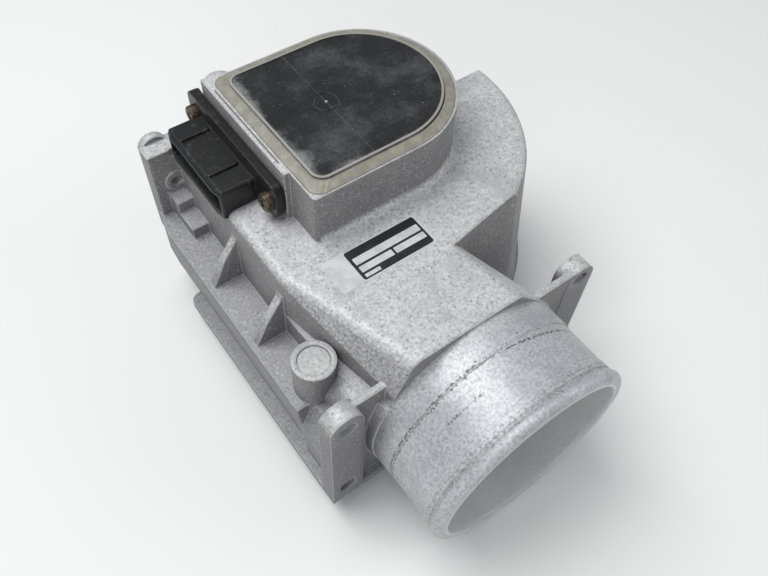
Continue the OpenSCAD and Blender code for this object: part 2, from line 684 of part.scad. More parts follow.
module stop_sleeve() {
    color([0.1, 0.1, 0.1]) at_shaft(stop_a - 12.5) difference() {
        rod_z(in_r - 3.4, 0, 3, hub_z - 3, hub_z + 2);
        rod_z(in_r - 3.4, 0, 1.6, hub_z - 4, hub_z + 3);
    }
}
module stop_bumper() {
    color([0.1, 0.1, 0.1]) {
        rod_y(bump_x, 5, 4, py - 4.2, py + 0.2);
        rod_y(bump_x, 5, 1.95, py, py + 2.9);
    }
}
module switch_block() {
    r = in_r - 5.6;
    color([0.2, 0.18, 0.16]) at_shaft(stop_a - 35) {
        box([r, -3.5, top_z], [r + 4.2, 3.5, hub_z + 1]);
        box([r - 5.2, -3.5, hub_z - 3.5], [r + 0.2, 3.5, hub_z + 1]);
    }
}
module switch_leaves() {
    z = hub_z + 0.9;
    r = in_r - 9;
    color([0.75, 0.68, 0.45]) at_shaft(stop_a - 35) {
        box([r, 3.5, z - 2.6], [r + 0.4, 10.2, z]);
        box([r - 1.2, 3.5, z - 2.6], [r - 0.8, 7.8, z]);
    }
}
module bypass_screw() {
    color([0.62, 0.6, 0.55]) translate([boss_x, boss_y, 0]) difference() {
        union() {
            rod_z(0, 0, 4, 9, 18);
            rod_z(0, 0, 2.9, 6.6, 9.1);
            rod_z(0, 0, 4, 5, 6.7);
            translate([0, 0, chan_z + 1]) cylinder(r1 = 1, r2 = 2.6, h = 5.1);
        }
        box([-5, -0.6, 16.4], [5, 0.6, 19]);
    }
}
module bypass_o_ring() {
    color([0.08, 0.08, 0.08]) translate([boss_x, boss_y, 7.8]) rotate_extrude($fn = 48)
        translate([3.45, 0]) circle(r = 0.55);
}
module bypass_plug() {
    color([0.7, 0.7, 0.7]) rod_z(boss_x, boss_y, 5.3, boss_z - 5.5, boss_z - 0.5);
}
// Air temperature sensor hanging from the duct roof upstream of the vane
module air_temperature_sensor() {
    y = sens_y;
    color([0.13, 0.12, 0.12]) difference() {
        union() {
            rod_z(6, y, 3, 14, top_z + 1);
            rod_z(6, y, 4.1, top_z, top_z + 1.5);
            rod_z(6, y, 1.2, top_z + 1, top_z + 6);
        }
        box([1, y - 1.6, 17], [11, y + 1.6, 27]);
    }
    color([0.5, 0.3, 0.2]) rod_z(6, y, 1.1, 16.5, 24);
}
module sensor_grommet() {
    color([0.08, 0.08, 0.08]) up(roof_z, top_z) translate([6, sens_y]) difference() {
        circle(r = 4);
        circle(r = 3);
    }
}

housing();
bottom_cover();
cover_gasket();
cover_screws();
electronics_cover();
cover_sealant();
label_plate();
connector_housing();
connector_gasket();
connector_screws();
connector_terminals();
resistor_board();
board_screws();
vane();
vane_shaft();
thrust_washers();
upper_bearing();
lower_bearing();
spring_wheel();
wheel_lock_clip();
return_spring();
wiper_hub();
wiper_arm();
wiper_contact();
counterweight();
stop_sleeve();
stop_bumper();
switch_block();
switch_leaves();
bypass_screw();
bypass_o_ring();
bypass_plug();
air_temperature_sensor();
sensor_grommet();
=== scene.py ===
"""Vane type intake airflow sensor: its finishes, seal bead, label, connector shell and studio."""

import bmesh
import bpy
import numpy as np
from bpy.props import FloatProperty, FloatVectorProperty, PointerProperty
from mathutils import Matrix, Vector


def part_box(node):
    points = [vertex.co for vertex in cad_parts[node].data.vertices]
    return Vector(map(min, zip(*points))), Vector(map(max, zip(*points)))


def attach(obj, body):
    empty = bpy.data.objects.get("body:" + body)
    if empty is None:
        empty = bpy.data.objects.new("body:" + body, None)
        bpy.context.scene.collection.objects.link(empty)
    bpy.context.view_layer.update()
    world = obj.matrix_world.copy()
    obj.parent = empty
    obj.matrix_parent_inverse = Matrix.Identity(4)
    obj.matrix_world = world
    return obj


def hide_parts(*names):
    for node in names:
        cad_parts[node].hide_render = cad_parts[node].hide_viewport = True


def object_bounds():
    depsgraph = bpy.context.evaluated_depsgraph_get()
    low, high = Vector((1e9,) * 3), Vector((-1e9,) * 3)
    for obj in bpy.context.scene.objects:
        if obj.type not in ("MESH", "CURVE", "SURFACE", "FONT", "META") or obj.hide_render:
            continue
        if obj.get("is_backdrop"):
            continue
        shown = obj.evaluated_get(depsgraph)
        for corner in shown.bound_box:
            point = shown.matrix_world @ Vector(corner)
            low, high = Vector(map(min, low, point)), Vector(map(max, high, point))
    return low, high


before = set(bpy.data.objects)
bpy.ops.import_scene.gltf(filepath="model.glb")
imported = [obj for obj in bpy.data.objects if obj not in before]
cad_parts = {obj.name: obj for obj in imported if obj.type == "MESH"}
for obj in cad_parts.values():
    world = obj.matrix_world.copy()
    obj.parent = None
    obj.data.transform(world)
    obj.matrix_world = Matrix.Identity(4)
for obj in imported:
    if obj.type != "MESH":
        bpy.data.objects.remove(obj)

bl_info = {
    "name": "Airflow Sensor Finishes",
    "version": (1, 0, 0),
    "blender": (4, 5, 0),
    "location": "3D View > Sidebar > Airflow Sensor",
    "description": "Dresses the airflow sensor with finishes, a seal bead, a label and a connector shell",
    "category": "Object",
}

MM = 0.001
BODY = "meter"

# Places on the housing, in millimetres. The pipe lies along y, and its rim is where y is 0.
BORE_RADIUS = 36.0  # skin nearer to the pipe's axis than this is the bore's
PIPE_SKIN = (35.5, 27.0)  # the turned skin starts and is full at these places in y
# middle and half size, along x, y and z, of the dark line of painted shade along the narrow groove between the
# connector's pad and the tower rim
GROOVE_SHADE = ((-24.35, 0.32), (126.5, 20.0), (62.0, 3.5))
# dirt lines round the pipe: y, how much y falls with x, width, share of colour, middle and reach along x
DIRT_LINES = (
    (24.9, 0.0, 0.9, 0.75, -30.0, 34.0),
    (24.3, 0.0, 0.5, 0.8, -30.0, 38.0),
    (24.8, 0.0, 0.5, 0.4, 20.0, 34.0),
    (23.6, 0.09, 0.5, 0.9, 14.0, 24.0),
    (16.9, 0.02, 0.5, 0.65, -18.0, 18.0),
    (6.6, 0.0, 0.4, 0.35, 0.0, 60.0),
    (5.0, 0.0, 1.2, 0.4, 0.0, 60.0),
)
DIRT_FADE = 12.0  # a dirt line fades out over this length at each end of its reach

# Marks on the lid, in millimetres
PIN_MARK = (2.2, 119.8)  # its middle in x and y; the flow line runs through it along y
PIN_RING = 4.2  # radius of the ring round it

# The seal bead, in millimetres. Its outline is the lid's, and its section is given by how far each point lies
# in from the outline and above the tower rim.
BEAD_HALF, BEAD_ROUND_X, BEAD_CORNER = 32.4, 16.0, 4.6  # half width, middle of the round end, corner radius
BEAD_SPREAD = 1.0  # the outline lies this far left of the CAD bead
BEAD_CREST = 1.2  # the CAD bead's top lies this far above the rim
BEAD_EDGE, BEAD_WIDTH, BEAD_LIP = 0.5, 3.68, 0.02  # outer edge, width of the crown, height of its edge
BEAD_ROOT = ((4.18, -1.4), (2.25, -1.4), (2.25, -0.02), (0.5, -0.02))  # down beside the lid and back out

# The label, in millimetres
FIELD_WIDTH = 28.2  # from the dark field's left side to the foil's right edge
FIELD_SIDE, FIELD_END = 0.7, 0.6  # bare foil right of the dark field, and at its far and near ends
# fields as shares of the dark field: left, far, right and near side, then height, corner and material
FIELDS = (
    (0, 0, 1, 1, 0.13, 0.9, 1),
    (0.04, 0.27, 0.97, 0.5, 0.15, 0.25, 0),
    (0.04, 0.57, 0.5, 0.77, 0.15, 0.25, 0),
    (0.53, 0.57, 0.97, 0.77, 0.15, 0.25, 0),
    (0.04, 0.84, 0.25, 0.95, 0.15, 0.25, 0),
)
FOIL_HEIGHT, FOIL_CORNER = 0.10, 0.8

# The connector, in millimetres. The hood's sections go from the flange out to the mouth and back in along the
# socket: x, low y, high y, low z, high z, cut of the top corners, cut of the bottom corners, slope in plan.
HOOD_SECTIONS = (
    (-29.2, 114.4, 151.1, 37.8, 49.0, 0.8, 0.8, 0),
    (-41.4, 114.4, 151.1, 36.4, 49.0, 0.8, 0.8, 0),
    (-42.4, 114.4, 151.1, 36.6, 48.4, 0.8, 0.8, 0.2125),
    (-43.0, 114.9, 150.6, 37.4, 47.6, 0.8, 0.8, 0.2125),
    (-43.0, 115.7, 149.8, 38.8, 46.9, 0.6, 0.5, 0.2125),
    (-29.3, 116.0, 149.5, 39.9, 47.4, 0.6, 0.5, 0),
)
HOOD_END = 3.4  # length of each end of the hood that slopes in plan
FLANGE_X = (-29.4, -26.35)
# arcs of the flange's outline: middle in y and z, radius, and the quarter turns where each starts and stops
FLANGE_ARCS = (
    (156.1, 51.5, 3.0, 1, 0),
    (154.6, 44.5, 4.5, 0, -1.12),
    (152.6, 39.3, 1.0, 0, -1),
    (112.8, 39.3, 1.0, -1, -2),
    (106.0, 44.5, 4.5, -0.25, -2),
    (104.5, 51.5, 3.0, -2, -3),
)
CORE_X = (-27.35, -17.2)  # the inner body that holds the blades
CORE_OUTLINE = ((118.7, 40.5), (144.9, 40.5), (144.9, 46.3), (118.7, 46.3))
RIB_X, RIB_Z, RIB_MIDDLES = (-41.6, -30.6), (48.7, 50.0), (123.7, 142.8)  # the last are places in y
RIB_HALF, RIB_CORNER = 0.95, 0.9
MOULD_RADIUS = 0.35  # on every edge of the connector

# Finishes of small parts. A row has the finish's name, its colour and the colour that mottles it, metallic,
# roughness, and the nodes that have it.
CONNECTOR_FINISHES = (
    # moulded rubber: black and dull
    ("nitrile_gasket", "#1C1B1A", "#2A2826", 0.0, 0.7, ("connector_gasket",)),
    # stamped and tinned: pale, a little yellow, bright
    ("tinned_brass_blades", "#B9B6A8", "#8F8C80", 1.0, 0.3, ("connector_terminals",)),
)
SCREW_FINISHES = (
    # passivated steel that has aged: brown, blotched and half dull
    ("chromated_steel_aged", "#6A5E51", "#3E362E", 0.8, 0.42, ("connector_screws",)),
    # plated steel: pale grey with soft highlights
    ("zinc_plated_steel", "#A9A9A6", "#85857F", 1.0, 0.32,
     ("cover_screws", "board_screws", "bypass_screw")),
)
MECHANISM_FINISHES = (
    # ground bar: bright, with narrow highlights
    ("ground_steel", "#B4B6B8", "#9A9C9E", 1.0, 0.22, ("vane_shaft", "counterweight")),
    # pressed and sintered powder: brown, open-grained and dull
    ("sintered_bronze", "#8F6F45", "#6E5434", 1.0, 0.5, ("upper_bearing", "lower_bearing")),
    # rolled and stamped strip: yellow and bright
    ("brass_strip", "#C2A468", "#A58750", 1.0, 0.3,
     ("wiper_arm", "wiper_contact", "switch_leaves", "thrust_washers")),
    # hardened strip: dark grey and glossy
    ("spring_steel_strip", "#7D8084", "#5F6265", 1.0, 0.3, ("return_spring", "wheel_lock_clip")),
    # moulded acetal: ivory and waxy
    ("acetal_wheel", "#CFC9AE", "#BDB79D", 0.0, 0.45, ("spring_wheel",)),
    # moulded phenolic: dark brown and half matt
    ("phenolic_moulding", "#26201C", "#332B25", 0.0, 0.5,
     ("wiper_hub", "switch_block", "air_temperature_sensor")),
    # fired ceramic plate: off-white and matt
    ("alumina_board", "#D8D5C9", "#C9C5B6", 0.0, 0.55, ("resistor_board",)),
    # moulded rubber: near black and dull
    ("nitrile_rubber", "#161616", "#242322", 0.0, 0.65,
     ("stop_sleeve", "stop_bumper", "bypass_o_ring", "sensor_grommet")),
    # pressed fibre sheet: brown grey, dry and matt
    ("fibre_gasket", "#6B6459", "#554F46", 0.0, 0.8, ("cover_gasket",)),
)

# The studio, in metres
FLOOR_GAP, FLOOR_REACH = 0.2 * MM, 4.0
WORLD_STRENGTH = 0.4
# name, place, width, and power in watts
LAMPS = (
    ("key", (-0.22, 0.30, 0.80), 0.6, 6.3),
    ("fill", (0.7, -0.5, 0.5), 0.6, 2.0),
    ("front", (-0.6, -0.55, 0.35), 0.5, 1.6),
)
LAMP_TARGET = (0.01, 0.08, 0.02)
CAMERA_PLACE = (-0.10028, -0.04136, 0.23080)
# right, down and forward directions of the view
CAMERA_AXES = ((0.8055, -0.5914, 0.0361), (-0.4702, -0.6751, -0.5684), (0.3606, 0.4409, -0.8219))
CAMERA_LENS, CAMERA_SENSOR = 35.449, 36.0  # millimetres, as cameras give them


# Colours and nodes

def linear(code):
    """sRGB hex text to a linear RGBA tuple."""
    v = np.array([int(code[i:i + 2], 16) for i in (1, 3, 5)]) / 255
    v = np.where(v <= 0.04045, v / 12.92, ((v + 0.055) / 1.055) ** 2.4)
    return (*v.tolist(), 1.0)


def add(tree, kind, inputs=None, out=0, **settings):
    """Adds one node, sets its properties, sets or links its inputs, and returns one of its outputs, or all of
    them where out is None."""
    node = tree.nodes.new(kind)
    for key, value in settings.items():
        setattr(node, key, value)
    for key, value in (inputs or {}).items():
        if isinstance(value, bpy.types.NodeSocket):
            tree.links.new(value, node.inputs[key])
        else:
            node.inputs[key].default_value = value
    return node.outputs if out is None else node.outputs[out]


def fresh(name, metallic=0.0, roughness=0.5):
    """A new material, its node tree, its shader and its Object coordinates."""
    material = bpy.data.materials.new(name)
    material.use_nodes = True
    tree = material.node_tree
    shader = tree.nodes["Principled BSDF"]
    shader.inputs["Metallic"].default_value = metallic
    shader.inputs["Roughness"].default_value = roughness
    return material, tree, shader, add(tree, "ShaderNodeTexCoord", out="Object")


def layers(tree, below, *rows):
    """Colours laid over one another in order. A row is a colour, a pattern, the pattern's values where the
    colour starts and where it is full, and its share there. The full value may be the lower one."""
    for colour, pattern, start, full, most in rows:
        share = add(tree, "ShaderNodeMapRange",
                    {"Value": pattern, "From Min": start, "From Max": full, "To Max": most},
                    interpolation_type="SMOOTHSTEP")
        below = add(tree, "ShaderNodeMix", {0: share, 6: below, 7: linear(colour)}, out=2,
                    data_type="RGBA")
    return below


def apart(tree, value, middle):
    """How far a value lies from a middle one, on either side of it."""
    gap = add(tree, "ShaderNodeMath", {0: value, 1: middle}, operation="SUBTRACT")
    return add(tree, "ShaderNodeMath", {0: gap}, operation="ABSOLUTE")


def finish(tree, shader, colour, radius_mm, relief, depth_mm, rough=None):
    """Links a colour, a roughness, and a normal that rounds small edges by a radius under a relief."""
    normal = add(tree, "ShaderNodeBevel", {"Radius": radius_mm * MM}, samples=4)
    normal = add(tree, "ShaderNodeBump",
                 {"Height": relief, "Distance": depth_mm * MM, "Normal": normal})
    tree.links.new(colour, shader.inputs["Base Color"])
    tree.links.new(normal, shader.inputs["Normal"])
    if rough is not None:
        tree.links.new(rough, shader.inputs["Roughness"])


# Finishes

def cast_skin(tree, co, dark, middle, light):
    """Colour of a blasted casting, and its patterns: flecks about 1 mm across and patches of about 11 mm."""
    fleck = add(tree, "ShaderNodeTexNoise",
                {"Vector": co, "Scale": 1 / (1.0 * MM), "Detail": 4.0, "Roughness": 0.62})
    patch = add(tree, "ShaderNodeTexNoise", {"Vector": co, "Scale": 1 / (11 * MM), "Detail": 3.0})
    colour = layers(tree, linear(dark),
                    (middle, fleck, 0.33, 0.47, 1.0),
                    (light, fleck, 0.5, 0.66, 0.85),
                    ("#A1A1A4", patch, 0.45, 0.68, 0.45))
    return colour, fleck, patch


def plain_cast_finish(name):
    """Aluminium die casting, blasted. To the eye: a matt grey skin of pale and dark flecks."""
    material, tree, shader, co = fresh(name, 0.3, 0.55)
    colour, fleck, _ = cast_skin(tree, co, "#969695", "#B4B4B4", "#CACAC9")
    finish(tree, shader, colour, 0.8, fleck, 0.05)
    return material


def pipe_skin(tree, co, place, fleck, patch, speck):
    """Colour of the turned pipe: a smoother, bluer skin, with dirt in the lines round its outside, and a bore
    painted pale as painted light. A dirt line lies where y is near a plane that leans with x. It reaches
    equally far to either side of its middle in x, and the specks break it into grains."""
    clean = layers(tree, linear("#A9ABAF"),
                   ("#C4C5C9", fleck, 0.38, 0.6, 1.0),
                   ("#97999E", patch, 0.45, 0.7, 0.4),
                   ("#626265", speck, 0.66, 0.74, 0.5))
    dirty = clean
    for y, lean, wide, share, middle, reach in DIRT_LINES:
        plane = add(tree, "ShaderNodeMath", {0: place[0], 1: -lean, 2: y * MM},
                    operation="MULTIPLY_ADD")
        grain = add(tree, "ShaderNodeMath", {0: speck, 1: 4.5 * wide}, operation="MULTIPLY")
        near = add(tree, "ShaderNodeMath", {0: apart(tree, place[1], plane), 1: -1 / MM, 2: grain},
                   operation="MULTIPLY_ADD")
        fade = add(tree, "ShaderNodeMapRange",
                   {"Value": apart(tree, place[0], middle * MM), "From Min": reach * MM,
                    "From Max": (reach - DIRT_FADE) * MM})
        near = add(tree, "ShaderNodeMath", {0: near, 1: fade}, operation="MULTIPLY")
        dirty = layers(tree, dirty, ("#4A4540", near, 1.6 * wide, 2.3 * wide, share))
    flat = add(tree, "ShaderNodeMapping", {"Vector": co, "Scale": (1.0, 0.0, 1.0)})
    radius = add(tree, "ShaderNodeVectorMath", {0: flat}, out="Value", operation="LENGTH")
    outside = add(tree, "ShaderNodeMath", {0: radius, 1: BORE_RADIUS * MM}, operation="GREATER_THAN")
    colour = add(tree, "ShaderNodeMix", {0: outside, 6: clean, 7: dirty}, out=2, data_type="RGBA")
    # painted light: the bore is painted near white, to stand for light falling into it
    return layers(tree, colour,
                  ("#EDEDEB", radius, (BORE_RADIUS + 0.2) * MM, (BORE_RADIUS - 0.4) * MM, 0.6))


def housing_finish(name):
    """Aluminium die casting, blasted and aged. To the eye: a matt grey skin of pale and dark flecks about
    1 mm across, leaning walls darkened by painted shade, edges painted bright as rubbed wear and as painted
    highlight, a dark line of painted shade along the groove by the connector's pad, and a smoother, bluer
    turned pipe with dirt in its lines and a bore painted pale as painted light."""
    material, tree, shader, co = fresh(name, 0.3, 0.55)
    colour, fleck, patch = cast_skin(tree, co, "#9A9A9C", "#BDBDBF", "#D6D6D7")
    speck = add(tree, "ShaderNodeTexNoise", {"Vector": co, "Scale": 1 / (0.8 * MM), "Detail": 1.0})
    place = add(tree, "ShaderNodeSeparateXYZ", {0: co}, out=None)
    face = add(tree, "ShaderNodeNewGeometry", out="True Normal")
    facing = add(tree, "ShaderNodeSeparateXYZ", {0: face}, out=2)
    # painted shade: the skin darkens where its face leans away from straight up
    wall_shade = add(tree, "ShaderNodeMath", {0: fleck, 1: 0.7, 2: facing}, operation="MULTIPLY_ADD")
    level = add(tree, "ShaderNodeMath", {0: patch, 1: 18 * MM, 2: place[2]}, operation="MULTIPLY_ADD")
    # walls are painted darker than what faces up, as painted shade; low ledges are darker and bluer than the
    # roof; pale specks are skin that is rubbed clean, and dark ones are pits
    colour = layers(tree, colour,
                    ("#6C6A69", wall_shade, 1.05, 0.4, 0.74),
                    ("#77777C", level, 34 * MM, 20 * MM, 0.6),
                    ("#C6C5C8", speck, 0.37, 0.29, 0.6),
                    ("#454443", speck, 0.67, 0.73, 0.6))
    start, full = PIPE_SKIN
    pipe = add(tree, "ShaderNodeMapRange",
               {"Value": place[1], "From Min": start * MM, "From Max": full * MM},
               interpolation_type="SMOOTHSTEP")
    turned = pipe_skin(tree, co, place, fleck, patch, speck)
    colour = add(tree, "ShaderNodeMix", {0: pipe, 6: colour, 7: turned}, out=2, data_type="RGBA")
    # painted shade: a dark line in a box along the narrow groove between the connector's pad and the tower rim
    groove_shade = 1.0
    for value, (middle, half) in zip(place, GROOVE_SHADE):
        near = add(tree, "ShaderNodeMath", {0: apart(tree, value, middle * MM), 1: half * MM},
                   operation="LESS_THAN")
        groove_shade = add(tree, "ShaderNodeMath", {0: near, 1: groove_shade}, operation="MULTIPLY")
    # an edge is where the rounded normal leaves the face's own, and it is painted bright, partly as rubbed
    # wear and partly as painted highlight
    soft = add(tree, "ShaderNodeBevel", {"Radius": 0.9 * MM}, samples=4)
    edge = add(tree, "ShaderNodeVectorMath", {0: soft, 1: face}, out="Value", operation="DOT_PRODUCT")
    edge = add(tree, "ShaderNodeMath", {0: fleck, 1: -0.25, 2: edge}, operation="MULTIPLY_ADD")
    colour = layers(tree, colour,
                    ("#4C4A48", groove_shade, 0.3, 0.9, 0.75),
                    ("#DFDFDD", edge, 0.83, 0.7, 0.75))
    # the turned pipe is a little smoother and more metallic than the rest
    rough = add(tree, "ShaderNodeMapRange", {"Value": pipe, "To Min": 0.58, "To Max": 0.5})
    metal = add(tree, "ShaderNodeMapRange", {"Value": pipe, "To Min": 0.3, "To Max": 0.4})
    tree.links.new(metal, shader.inputs["Metallic"])
    finish(tree, shader, colour, 2.2, fleck, 0.07, rough)
    return material


def lid_finish(name, base):
    """Moulded polyester lid, semi matt. To the eye: near black, with rubbed grey haze toward its rim and in
    faint clouds, fine pale grains, hair scratches, a fine flow line and a pin mark."""
    material, tree, shader, co = fresh(name, 0.0, 0.4)
    cloud = add(tree, "ShaderNodeTexNoise",
                {"Vector": co, "Scale": 1 / (16 * MM), "Detail": 4.0, "Roughness": 0.6})
    fine = add(tree, "ShaderNodeTexNoise",
               {"Vector": co, "Scale": 1 / (0.9 * MM), "Detail": 3.0, "Roughness": 0.7})
    speck = add(tree, "ShaderNodeTexNoise", {"Vector": co, "Scale": 1 / (0.7 * MM), "Detail": 0.0})
    dust = add(tree, "ShaderNodeMath", {0: fine, 1: 0.4, 2: cloud}, operation="MULTIPLY_ADD")
    # the haze lies along the left and the near edge, and the clouds and the fine noise fray its border
    low, high = (Vector(c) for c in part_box("electronics_cover"))
    place = add(tree, "ShaderNodeSeparateXYZ", {0: co}, out=None)
    left = add(tree, "ShaderNodeMath", {0: place[0], 1: low.x}, operation="SUBTRACT")
    near = add(tree, "ShaderNodeMath", {0: place[1], 1: low.y}, operation="SUBTRACT")
    near = add(tree, "ShaderNodeMath", {0: near, 1: 1.5}, operation="MULTIPLY")
    rim = add(tree, "ShaderNodeMath", {0: left, 1: near, 2: 3 * MM}, operation="SMOOTH_MIN")
    rim = add(tree, "ShaderNodeMath", {0: cloud, 1: -16 * MM, 2: rim}, operation="MULTIPLY_ADD")
    rim = add(tree, "ShaderNodeMath", {0: fine, 1: -4 * MM, 2: rim}, operation="MULTIPLY_ADD")
    colour = layers(tree, base,
                    ("#55575A", dust, 0.62, 1.0, 0.6),
                    ("#8B8C8D", rim, -3.5 * MM, -8.5 * MM, 0.75))
    # a hair scratch is noise drawn out to 30 mm along its turn and squeezed to 0.35 mm across
    for turn, share in ((0.5, 0.3), (-0.9, 0.25), (1.3, 0.2)):
        drawn = add(tree, "ShaderNodeMapping",
                    {"Vector": co, "Rotation": (0, 0, turn),
                     "Scale": (1 / (30 * MM), 1 / (0.35 * MM), 0.0)})
        hair = add(tree, "ShaderNodeTexNoise", {"Vector": drawn, "Scale": 1.0, "Detail": 1.0})
        colour = layers(tree, colour, ("#8C8D8E", hair, 0.72, 0.8, share))
    x, y = PIN_MARK
    mark = add(tree, "ShaderNodeMapping",
               {"Vector": co, "Location": (-x * MM, -y * MM, 0), "Scale": (1.0, 1.0, 0.0)})
    across = add(tree, "ShaderNodeMath", {0: add(tree, "ShaderNodeSeparateXYZ", {0: mark})},
                 operation="ABSOLUTE")
    around = add(tree, "ShaderNodeVectorMath", {0: mark}, out="Value", operation="LENGTH")
    ring = apart(tree, around, PIN_RING * MM)
    for distance, wide, share in ((across, 0.2, 0.1), (ring, 0.2, 0.3), (around, 0.7, 0.8)):
        colour = layers(tree, colour, ("#A4A5A6", distance, wide * MM, 0.4 * wide * MM, share))
    # dust grains, and the pale lip of the lid's top edge
    colour = layers(tree, colour,
                    ("#A2A2A1", speck, 0.82, 0.87, 0.6),
                    ("#A3A29A", place[2], high.z - 0.2 * MM, high.z - 0.05 * MM, 0.75))
    rough = add(tree, "ShaderNodeMapRange",
                {"Value": dust, "From Min": 0.5, "From Max": 0.9, "To Min": 0.3, "To Max": 0.52})
    finish(tree, shader, colour, 0.5, fine, 0.012, rough)
    return material


def plug_finish(name, base):
    """Glass-filled polyamide, moulded, satin. To the eye: black with soft highlights, scuffs and pale grit."""
    material, tree, shader, co = fresh(name, 0.0, 0.36)
    scuff = add(tree, "ShaderNodeTexNoise",
                {"Vector": co, "Scale": 1 / (3.0 * MM), "Detail": 5.0, "Roughness": 0.75})
    grit = add(tree, "ShaderNodeTexNoise", {"Vector": co, "Scale": 1 / (0.5 * MM), "Detail": 2.0})
    colour = layers(tree, base,
                    ("#48484A", scuff, 0.54, 0.72, 0.6),
                    ("#A9A9A6", grit, 0.72, 0.79, 0.5))
    finish(tree, shader, colour, 0.5, scuff, 0.03)
    return material


def sealant_finish(name, base):
    """Silicone sealant, cured and dusty. To the eye: grey beige, slightly see-through, satin, with smears."""
    material, tree, shader, co = fresh(name, 0.0, 0.36)
    shader.inputs["Subsurface Weight"].default_value = 0.2
    shader.inputs["Subsurface Scale"].default_value = 1.5 * MM
    smear = add(tree, "ShaderNodeTexNoise",
                {"Vector": co, "Scale": 1 / (4.0 * MM), "Detail": 4.0, "Roughness": 0.65})
    finish(tree, shader, layers(tree, base, ("#929084", smear, 0.42, 0.66, 1.0)), 0.3, smear, 0.05)
    return material


def plain_finish(name, base, other, metallic, rough, grain_mm=1.2, depth_mm=0.01, radius_mm=0.2):
    """Small part: its own colour, slightly mottled with a second one, at the given metal and roughness."""
    material, tree, shader, co = fresh(name, metallic, rough)
    grain = add(tree, "ShaderNodeTexNoise",
                {"Vector": co, "Scale": 1 / (grain_mm * MM), "Detail": 3.0, "Roughness": 0.6})
    colour = layers(tree, base, (other, grain, 0.4, 0.65, 1.0))
    finish(tree, shader, colour, radius_mm, grain, depth_mm)
    return material


def dress(material, *nodes):
    """Puts a material on all slots of CAD nodes."""
    for name in nodes:
        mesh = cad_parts[name].data
        mesh.materials.clear()
        mesh.materials.append(material)


def dress_plain(rows):
    """Makes each row's finish and puts it on the row's nodes."""
    for name, colour, other, metallic, rough, nodes in rows:
        dress(plain_finish(name, linear(colour), other, metallic, rough), *nodes)


# Shapes, in millimetres

def arc(x, y, radius, start, stop, count):
    """Points of an arc at equal steps of angle: the middle, plus the radius times cosine and sine."""
    a = np.linspace(start, stop, count)
    return np.stack([x + radius * np.cos(a), y + radius * np.sin(a)], 1)


def lid_outline(left, half, round_x, corner, y, n=40):
    """D-shaped outline, anticlockwise: a round end of radius 'half' about (round_x, y), then a straight side,
    a corner arc, the left side, a corner arc and the other straight side. Each run has a fixed count of
    points."""
    inner, far, near = left + corner, y + half, y - half
    q = np.pi / 2
    runs = [arc(round_x, y, half, -q, q, 3 * n),
            np.linspace((round_x, far), (inner, far), 2 * n)[1:],
            arc(inner, far - corner, corner, q, 2 * q, n)[1:],
            np.linspace((left, far - corner), (left, near + corner), 2 * n)[1:],
            arc(inner, near + corner, corner, 2 * q, 3 * q, n)[1:],
            np.linspace((inner, near), (round_x, near), 2 * n)[1:-1]]
    return np.concatenate(runs)


def rounded_field(x0, y0, x1, y1, radius, n=6):
    """Rectangle with round corners, anticlockwise: a quarter circle of n points about each corner's middle,
    which lies in from both sides by the radius."""
    left, right, near, far = x0 + radius, x1 - radius, y0 + radius, y1 - radius
    middles = ((right, far), (left, far), (left, near), (right, near))
    return np.concatenate([arc(*middle, radius, k * np.pi / 2, (k + 1) * np.pi / 2, n)
                           for k, middle in enumerate(middles)])


def hood_rings():
    """Rings of the hood, mouth and socket: each is one section across x, a rectangle with cut corners. Near
    an end, a point lies further in at the mouth by the slope times how far it is past the start of that end,
    so the mouth's corners are cut in plan too."""
    x, y0, y1, z0, z1, c, d, slope = np.array(HOOD_SECTIONS).T[:, :, None]
    e = HOOD_END
    y = np.hstack([y0 + e, y1 - e, y1 - d, y1, y1, y1 - c, y1 - e, y0 + e, y0 + c, y0, y0, y0 + d])
    z = np.hstack([z0, z0, z0, z0 + d, z1 - c, z1, z1, z1, z1, z1 - c, z0 + d, z0])
    past = np.clip(e - np.minimum(y - y0, y1 - y), 0, e)
    return np.stack([x + slope * past, y, z], -1)


def flange_outline():
    """Outline of the connector's flange in y and z: straight top, round upper corners, a lobe about each
    screw, and the deeper middle, as arcs joined by straight lines."""
    q = np.pi / 2
    return np.concatenate([arc(y, z, radius, start * q, stop * q, 10)
                           for y, z, radius, start, stop in FLANGE_ARCS])


def grid_faces(rows, columns):
    """Quads of a grid of points: each joins a point to its next along both directions, and the last point to
    the first, so the surface closes both ways."""
    i, j = np.meshgrid(np.arange(rows), np.arange(columns), indexing="ij")
    i2, j2 = (i + 1) % rows, (j + 1) % columns
    quads = [i * columns + j, i2 * columns + j, i2 * columns + j2, i * columns + j2]
    return np.stack(quads, -1).reshape(-1, 4)


def prism(ring, axis, low, high):
    """Points and faces of an outline carried straight along an axis from low to high, closed at both ends."""
    n = len(ring)
    i = np.arange(n)
    points = np.vstack([np.insert(ring, axis, level, axis=1) for level in (low, high)])
    sides = np.stack([i, (i + 1) % n, (i + 1) % n + n, i + n], 1)
    return points, [*sides.tolist(), (i + n).tolist(), i[::-1].tolist()]


def joined(parts):
    """Points and faces of several parts as one mesh: each part's faces count on from the points before it."""
    starts = np.cumsum([0] + [len(points) for points, _ in parts])
    faces = [[start + i for i in face] for start, (_, own) in zip(starts, parts) for face in own]
    return np.concatenate([points for points, _ in parts]), faces


def piece(name, points, faces, materials, slot, face_material=None, smooth=True):
    """Makes a mesh object in the shared frame from points in millimetres, and lets it ride on the meter."""
    mesh = bpy.data.meshes.new(name)
    mesh.from_pydata((points * MM).tolist(), [], [list(map(int, face)) for face in faces])
    for material in materials:
        mesh.materials.append(material)
    if face_material is not None:
        mesh.polygons.foreach_set("material_index", np.asarray(face_material, np.int32))
    mesh.polygons.foreach_set("use_smooth", np.full(len(mesh.polygons), smooth))
    mesh.update()
    obj = bpy.data.objects.new(name, mesh)
    bpy.context.scene.collection.objects.link(obj)
    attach(obj, BODY)
    return obj


